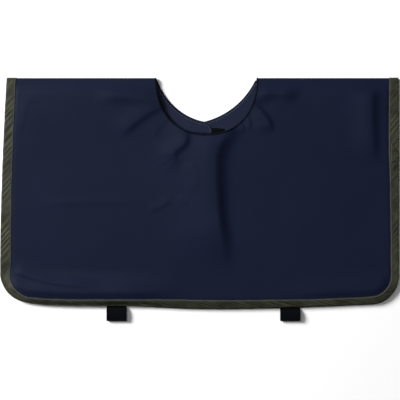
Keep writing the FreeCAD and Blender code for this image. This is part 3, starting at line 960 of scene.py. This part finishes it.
# ---- neck
def make_neck_edging():
    """Narrow tape bound round the neck opening, over both halves and both shoulders; its near-black colour is
    painted shade of the gap between the front neckline and the bands.
    """
    top, low = COVER_H[1] / MM, LINING_H[0] / MM
    section = [(3.0, low - 0.02, 0), (3.1, low - 0.3, 0), (1.4, low - 0.42, 0), (0.2, low - 0.3, 0)]
    section += [(-0.45, low + 0.5, 0), (-0.75, (top + low) / 2, 0.5), (-0.45, top - 0.2, 1)]
    section += [(0.3, top + 0.5, 1), (1.2, top + 0.66, 1), (2.1, top + 0.5, 1), (2.5, top + 0.1, 1)]
    section += [(2.3, top - 0.05, 1), (0.6, top - 0.05, 1), (0.6, low, 0)]
    deep, high, leg = np.array(section).T
    stations = NECK.at[:-1]
    x, v = NECK.spot(stations[:, None] + 0 * deep, deep * MM)
    tall = np.where(v > BACK_V, np.minimum(high, BINDING_H[1] / MM - 0.03), high) * MM
    rings = place(x, v, tall + sway(x, v) + leg * swell(x, v))
    around = lengths(np.stack([deep, high], axis=1)) * MM
    edging = swept("neck_edging", rings, around, stations, EDGING_WITH_PAINTED_SHADE, True)
    over_shoulders(edging, LINING_H[0] - 0.5 * MM)


band_low, band_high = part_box("neck_band_left")
tab_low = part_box("neck_tab")[0]
TAB_RISE = tab_low[2] - band_low[2] - 0.15 * MM
BAND_TOP = band_high[2] + 0.05 * MM
BAND_T = 0.5 * MM
BAND_ROWS = 15
BAND_SEAM_IN = 3.4 * MM      # the stitches' distance from a band's upper edge
BAND_UNDER = 8 * MM          # how far the bands run on under the front neckline
EDGING_SHOWN = 1.5 * MM      # width of neck edging left bare above the bands


def ruled(upper, lower):
    """Rows of places from one line to another."""
    share = np.linspace(0, 1, BAND_ROWS)[:, None, None]
    return (upper[None] * (1 - share) + lower[None] * share).reshape(-1, 2)


def front_neck_y(x):
    curve = front_neck_curve()
    return np.interp(x, curve[:, 0], curve[:, 1])


def on_back(piece):
    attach(piece, BACK)


def on_back_and_tab(piece):
    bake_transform(piece)


def make_band(name, flat, lift, tie, nodes, row_name, row_node):
    """A band over ruled places, with small waves and a row of stitches just inside its upper edge."""
    z = BAND_TOP + 0.12 * MM * cloudy(flat[:, 0], flat[:, 1], 16 * MM, 4.4) + lift
    points = np.column_stack([flat, z])
    faces = grid_faces(BAND_ROWS, len(flat) // BAND_ROWS)
    band = thin_sheet(name, points, points - [0, 0, BAND_T], faces, flat, BAND_WITH_PAINTED_LIGHT)
    tie(band)
    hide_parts(*nodes)
    grid = points.reshape(BAND_ROWS, -1, 3)
    width = np.linalg.norm((grid[-1] - grid[0])[:, :2], axis=1)
    share = np.clip(BAND_SEAM_IN / np.maximum(width, 1e-6), 0, 0.5)
    rows = np.linspace(0, 1, BAND_ROWS)
    line = np.array([[np.interp(share[i], rows, grid[:, i, k]) for k in range(3)] for i in range(len(width))])
    line = line[width > 7 * MM] + [0, 0, 0.05 * MM]
    gap, length, radius = 4.6 * MM, 2.0 * MM, 0.5 * MM
    row = stitches_along(row_name, line, UP, gap, length, radius, NAVY_THREAD)
    tie(row)
    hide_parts(row_node)


def make_left_band():
    """Left neckband, and the tab with a rounded end that it runs into."""
    left = back_neck_curves()[0]
    end = three_point_arc(NAPE, (18 * MM, TOP_Y - 85 * MM), (22.5 * MM, TOP_Y - 94 * MM))
    upper = resample(np.vstack([left[left[:, 0] < NAPE[0] - 1e-6], end]), 1.6 * MM)
    upper = upper + EDGING_SHOWN * ramp_mm(upper[:, :1], 20, 6) * rightward(upper)
    tip = (19.5 * MM, TOP_Y - 98.6 * MM)
    x = np.linspace(upper[0, 0] - 4 * MM, tip[0], len(upper))
    under = front_neck_y(x) - BAND_UNDER * ramp_mm(x, -14, -36)
    tab_edge = np.interp(x, (tab_low[0], tip[0]), (TOP_Y - 96.4 * MM, tip[1]))
    y = np.where(x > tab_low[0], tab_edge, under + 0.9 * MM * ramp_mm(x, -36, -14))
    flat = ruled(upper, np.stack([x, y], axis=1))
    bare = ramp_mm(flat[:, 1] - front_neck_y(flat[:, 0]), -1, 5)
    lift = TAB_RISE * ramp_mm(flat[:, 0], -34, -13) * np.where(flat[:, 0] > tab_low[0], 1, bare)
    make_band("neckband_left_with_tab", flat, lift, on_back_and_tab, ["neck_band_left", "neck_tab"],
              "neck_band_stitches_left", "neck_tab_stitching")


def make_right_band():
    upper = resample(back_neck_curves()[1], 1.6 * MM)
    upper = upper[upper[:, 0] > NAPE[0] + 0.7 * MM]
    upper = upper + EDGING_SHOWN * rightward(upper)
    x = np.linspace(upper[0, 0], upper[-1, 0] + 4 * MM, len(upper))
    y = front_neck_y(np.minimum(x, NECK_RIGHT_X - 0.2 * MM)) - BAND_UNDER
    flat = ruled(upper, np.stack([x, y], axis=1))
    make_band("neckband_right", flat, 0, on_back, ["neck_band_right"],
              "neck_band_stitches_right", "neck_band_stitching")


def fuzzy_patch(name, low, high, rough, body, node, lean=0.0):
    """Hook-and-loop tape: a thin block with a pile of fine fibres, leaning about its upper left corner."""
    x = np.arange(low[0], high[0], 0.7 * MM)
    y = np.arange(low[1], high[1], 0.7 * MM)
    flat = np.array([(a, b) for b in y for a in x])
    pile = cloudy(flat[:, 0], flat[:, 1], 1.1 * MM, 7.7) * rough
    edge = np.minimum(flat - low[:2], np.array(high[:2]) - flat).min(axis=1)
    top = high[2] + (pile - 0.1 * MM) * ramp_mm(edge, -0.2, 1.0)
    corner = np.array([low[0], high[1]])
    leaning = np.array([[math.cos(lean), math.sin(lean)], [-math.sin(lean), math.cos(lean)]])
    flat = (flat - corner) @ leaning + corner
    bottom = np.column_stack([flat, np.full(len(flat), low[2])])
    faces = grid_faces(len(y), len(x))
    patch = thin_sheet(name, np.column_stack([flat, top]), bottom, faces, flat, HOOK_AND_LOOP)
    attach(patch, body)
    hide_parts(node)


def make_closure_tapes():
    low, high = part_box("neck_loop_tape")
    low = (low[0], low[1], BAND_TOP - 0.2 * MM)
    high = (high[0], high[1] + 1.8 * MM, BAND_TOP + 0.22 * MM)
    fuzzy_patch("neck_loop_tape_pile", low, high, 0.12 * MM, BACK, "neck_loop_tape", math.radians(-5))
    low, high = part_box("neck_hook_tape")
    high = (high[0], high[1], high[2] - 0.1 * MM)
    fuzzy_patch("neck_hook_tape_pile", low, high, 0.03 * MM, "neck_tab", "neck_hook_tape")


def make_facing():
    """Strip inside the front neckline, from shoulder to shoulder."""
    low, high = layer_heights("front_neck_facing")
    width = 18 * MM
    at_front = NECK.at[:-1][NECK.loop[:, 1] <= FOLD_Y + 1e-9]
    s = np.linspace(at_front.min(), at_front.max(), 150)
    deeps = np.linspace(0.2 * MM, width, 9)
    s_grid, deep = (a.ravel() for a in np.meshgrid(s, deeps))
    x, v = NECK.spot(s_grid, deep)
    kept = np.minimum(v, FOLD_Y - 0.4 * MM)
    rise = sway(x, v) + 0.08 * MM * cloudy(x, v, 14 * MM, 2.5)
    top, bottom = place(x, kept, high + rise), place(x, kept, low + rise)
    flat = np.stack([s_grid, deep], axis=1)
    facing = thin_sheet("front_neck_facing_strip", top, bottom, grid_faces(len(deeps), len(s)), flat, BAND_WITH_PAINTED_LIGHT)
    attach(facing, FRONT)
    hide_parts("front_neck_facing")
    x, v = NECK.spot(s[4:-4], 10 * MM)
    line = place(x, v, low - 0.02 * MM + sway(x, v))
    down, gap, length, radius = (0, 0, -1.0), 3.1 * MM, 2.3 * MM, 0.25 * MM
    row = stitches_along("front_neck_stitches", line, down, gap, length, radius, NAVY_THREAD)
    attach(row, FRONT)
    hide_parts("front_neck_stitching")


# ---- hang loops
WEBBING_WIDTH = 35 * MM
WEBBING_THICK = 1.5 * MM
BARTACKS_UP = (6.2 * MM, 11.2 * MM)      # from the lower edge of the loop's sewn end


def webbing_profile(count):
    """Cross-section of the webbing about its middle line: ribbed faces, thicker selvedges, round edges."""
    half = WEBBING_WIDTH / MM / 2
    x = np.linspace(-half, half, count)
    ribs = 0.10 * np.abs(np.sin(math.pi * x / 2.33)) - 0.16 * np.exp(-(((np.abs(x) - 13.6) / 0.5) ** 2))
    round_off = np.sqrt(np.clip(1 - (np.maximum(np.abs(x) - (half - 0.7), 0) / 0.72) ** 2, 0.02, 1))
    upper = (0.64 + ribs) * round_off
    return np.r_[x, x[::-1]] * MM, np.r_[upper, -upper[::-1]] * MM


def make_loop(side):
    """Webbing doubled back on itself: sewn flat under the hem, then opening into the loop's eye."""
    loop_low, loop_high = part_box(side + "_hang_loop")
    anchor_low, anchor_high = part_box(side + "_loop_anchor")
    centre_x = (loop_low[0] + loop_high[0]) / 2
    half = WEBBING_THICK / 2
    radius = (loop_high[2] - loop_low[2]) / 2 - half
    eye_z = (loop_high[2] + loop_low[2]) / 2
    turn_y = loop_low[1] + radius + half
    hem_y, hem_z = loop_high[1], (anchor_low[2] + anchor_high[2]) / 2
    # y, and how far the two runs have opened from lying together to the full width of the eye
    run = [(anchor_high[1], 0), (hem_y + 3 * MM, 0), (hem_y, 0), (hem_y - 2 * MM, 0.35)]
    run += [(hem_y - 4.5 * MM, 0.8), (hem_y - 8 * MM, 1.0), (turn_y, 1.0)]
    upper = [(y, hem_z + half + (eye_z + radius - hem_z - half) * opened) for y, opened in run]
    lower = [(y, hem_z - half - (hem_z - half - eye_z + radius) * opened) for y, opened in run]
    angles = np.linspace(0.25, math.pi - 0.25, 11)
    bend = [(turn_y - radius * math.sin(t), eye_z + radius * math.cos(t)) for t in angles]
    path = resample(hermite(upper + bend + lower[::-1], 160), 0.8 * MM)
    across, proud = webbing_profile(61)
    rings = np.empty((len(path), len(across), 3))
    rings[..., 0] = centre_x + across
    rings[..., 1:] = path[:, None, :] + rightward(path)[:, None, :] * proud[None, :, None]
    piece = swept(side + "_hang_loop_webbing", rings, across + 0.2, lengths(path), WEBBING, False)
    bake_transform(piece)
    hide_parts(side + "_hang_loop", side + "_loop_anchor")


def make_bartacks():
    """Two bars of close stitches across the sewn ends of each loop, on the inside of the hem."""
    top_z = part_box("loop_bartacks")[1][2]
    centres = []
    for side in SIDES:
        low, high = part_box(side + "_loop_anchor")
        for rise in BARTACKS_UP:
            x = np.arange(low[0] + 3 * MM, high[0] - 3 * MM, 1.0 * MM)
            centres += [(a, low[1] + rise, top_z - 0.02 * MM) for a in x]
    ways = np.tile([0.12, 0.993, 0.0], (len(centres), 1))
    ups = np.tile(UP, (len(centres), 1))
    row = stitch_row("loop_bartack_stitches", np.array(centres), ways, ups, 2.2 * MM, 0.28 * MM, TAPE_THREAD)
    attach(row, BACK)
    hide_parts("loop_bartacks")


make_laminate()
make_binding()
make_binding_stitches()
make_tape_join()
make_neck_edging()
make_left_band()
make_right_band()
make_closure_tapes()
make_facing()
for side in SIDES:
    make_loop(side)
make_bartacks()

# ---- stage, lights and camera
STAGE_HALF = 4.0
SURROUND = 0.07              # strength of the light from all round; the backdrop itself is white
VIEW_WIDTH = 701.2 * MM      # width of the picture at the apron's upper face
VIEW_CENTRE = (0.9 * MM, -1.1 * MM)


def floor():
    corners = [(a * STAGE_HALF, b * STAGE_HALF, 0) for a, b in ((-1, -1), (1, -1), (1, 1), (-1, 1))]
    n = Nodes("pale_floor", (0.95, 0.95, 0.95), 0.9, specular=0.1)
    obj = add_mesh("studio_floor", corners, [(0, 1, 2, 3)], [c[:2] for c in corners], (n.material, None))


def area_light(name, location, size, watts):
    """A soft round light that points at the middle of the apron."""
    light = bpy.data.lights.new(name, "AREA")
    light.shape = "DISK"
    light.size = size
    light.energy = watts
    obj = bpy.data.objects.new(name, light)
    obj.location = location
    obj.rotation_euler = (-Vector(location)).to_track_quat("-Z", "Y").to_euler()
    bpy.context.scene.collection.objects.link(obj)


def lights():
    world = bpy.data.worlds.new("studio")
    bpy.context.scene.world = world
    world.use_nodes = True
    nodes, links = world.node_tree.nodes, world.node_tree.links
    surround, backdrop = nodes["Background"], nodes.new("ShaderNodeBackground")
    surround.inputs["Strength"].default_value = SURROUND
    mix = nodes.new("ShaderNodeMixShader")
    for white, socket in ((surround, mix.inputs[1]), (backdrop, mix.inputs[2])):
        white.inputs["Color"].default_value = (1, 1, 1, 1)
        links.new(white.outputs[0], socket)
    links.new(nodes.new("ShaderNodeLightPath").outputs["Is Camera Ray"], mix.inputs["Fac"])
    links.new(mix.outputs[0], nodes["World Output"].inputs["Surface"])
    area_light("key", (-4.2, 2.3, 3.3), 2.6, 590)
    area_light("fill", (-0.5, 0.5, 3.0), 1.6, 17)


def camera():
    data = bpy.data.cameras.new("camera")
    data.lens = 100
    data.sensor_width = 36
    obj = bpy.data.objects.new("camera", data)
    obj.location = (*VIEW_CENTRE, cad_high[2] + VIEW_WIDTH * data.lens / data.sensor_width)
    bpy.context.scene.collection.objects.link(obj)
    bpy.context.scene.camera = obj


floor()
lights()
camera()
bpy.context.scene.view_settings.view_transform = "Standard"
